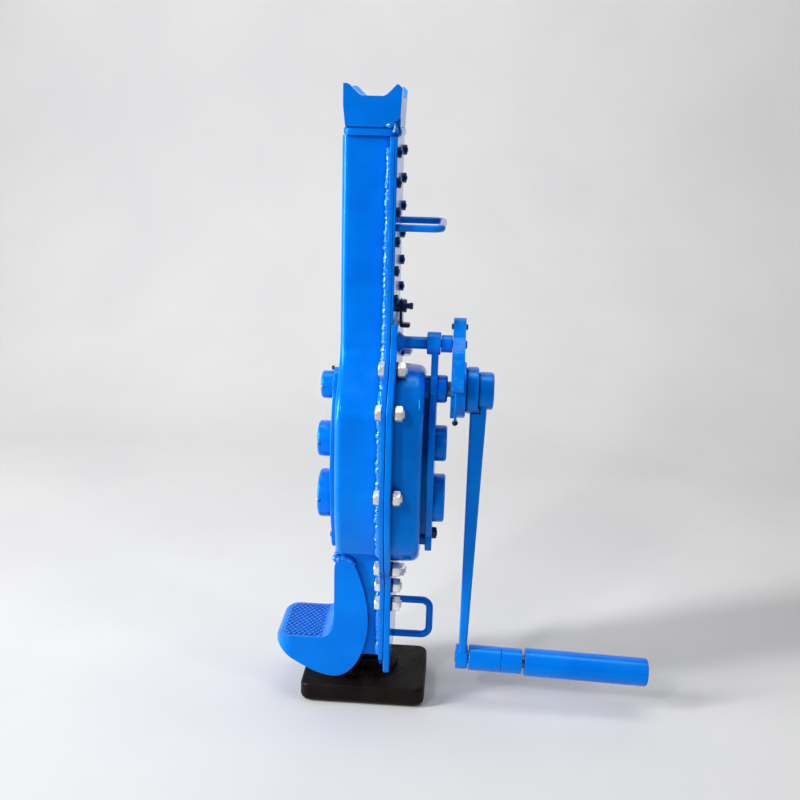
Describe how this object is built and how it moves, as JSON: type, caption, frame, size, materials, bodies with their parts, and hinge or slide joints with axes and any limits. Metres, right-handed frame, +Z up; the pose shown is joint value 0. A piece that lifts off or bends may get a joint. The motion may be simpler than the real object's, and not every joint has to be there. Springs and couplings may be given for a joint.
{
  "type": "rack and pinion lifting jack",
  "caption": "Hand-cranked steel rack jack with a foot plate, geared housing with a foot claw and horned head, ratchet pawl and hanging crank with a turning grip.",
  "frame": {"origin": "centre of the base plate's underside, on the axis of the channel", "axes": "+Z up along the rack, +X to the crank side with the claw on -X, +Y to the back, away from the gear belly"},
  "size_m": [0.4559, 0.159, 0.7295],
  "materials": {
    "blue_paint": "gloss",
    "black_iron": "satin",
    "gear_steel": "oiled",
    "zinc": "zinc plated",
    "dark_steel": "satin",
    "bronze": "machined"
  },
  "bodies": {
    "base": {"base_plate": "black_iron", "rack": "gear_steel", "foot_collar": "black_iron", "foot_screw": "zinc"},
    "housing": {"channel_body": "blue_paint", "body_flange": "blue_paint", "upper_cover": "blue_paint", "gear_cover": "blue_paint", "left_bearing_plate": "blue_paint", "right_bearing_plate": "blue_paint", "crank_cap_left": "blue_paint", "second_cap_left": "blue_paint", "third_cap_left": "blue_paint", "crank_boss": "blue_paint", "second_boss": "blue_paint", "third_boss": "blue_paint", "shaft_bushes": "bronze", "plate_bolts": "dark_steel", "left_plate_screws": "dark_steel", "rack_guides": "bronze", "head_collar": "blue_paint", "head": "blue_paint", "claw": "blue_paint", "upper_handle": "blue_paint", "lower_handle": "blue_paint", "flange_bolts": "zinc", "flange_washers": "dark_steel", "flange_nuts": "zinc", "cover_bolts": "blue_paint", "cover_nuts": "dark_steel", "stop_screw": "dark_steel", "latch_hook": "dark_steel", "stay_pin": "blue_paint", "pawl_bush": "blue_paint"},
    "pawl": {"pawl_lever": "blue_paint", "pawl_screw": "dark_steel", "pawl_knob": "dark_steel"},
    "crankshaft": {"crank_shaft": "gear_steel", "crank_pinion": "gear_steel", "ratchet_wheel": "blue_paint", "brake_disc": "blue_paint", "crank_hub": "blue_paint", "crank_arm": "blue_paint", "grip_spindle": "gear_steel", "grip_fixed_tube": "blue_paint", "grip_ring": "blue_paint"},
    "grip": {"grip_sleeve": "blue_paint"},
    "second_shaft": {"second_shaft": "gear_steel", "second_gear": "gear_steel", "second_pinion": "gear_steel"},
    "third_shaft": {"third_shaft": "gear_steel", "third_gear": "gear_steel", "drive_pinion": "gear_steel"}
  },
  "joints": [
    {"name": "lift", "type": "slide", "parent": "base", "child": "housing", "axis": [0, 0, 1], "range_m": [0, 0.3505]},
    {"name": "crank_turn", "type": "hinge", "parent": "housing", "child": "crankshaft", "pos_m": [0.1, -0.027, 0.3995], "axis": [-1, 0, 0], "range_deg": [0, 8177.14]},
    {"name": "second_turn", "type": "hinge", "parent": "housing", "child": "second_shaft", "pos_m": [0.05, -0.027, 0.3345], "axis": [-1, 0, 0], "range_deg": [-2455, 5]},
    {"name": "third_turn", "type": "hinge", "parent": "housing", "child": "third_shaft", "pos_m": [0.04, -0.027, 0.267], "axis": [-1, 0, 0], "range_deg": [-5, 895]},
    {"name": "pawl_swing", "type": "hinge", "parent": "housing", "child": "pawl", "pos_m": [0.1, -0.027, 0.4524], "axis": [-1, 0, 0], "range_deg": [-3.4, 25]},
    {"name": "grip_spin", "type": "hinge", "parent": "crankshaft", "child": "grip", "pos_m": [0.1165, -0.027, 0.06], "axis": [0.9995, 0, -0.0314], "continuous": true}
  ],
  "couplings": [
    {"joint": "lift", "follows": "crank_turn", "m_per_rad": 0.0024545},
    {"joint": "second_turn", "follows": "crank_turn", "ratio": -0.3},
    {"joint": "third_turn", "follows": "crank_turn", "ratio": 0.10909}
  ]
}
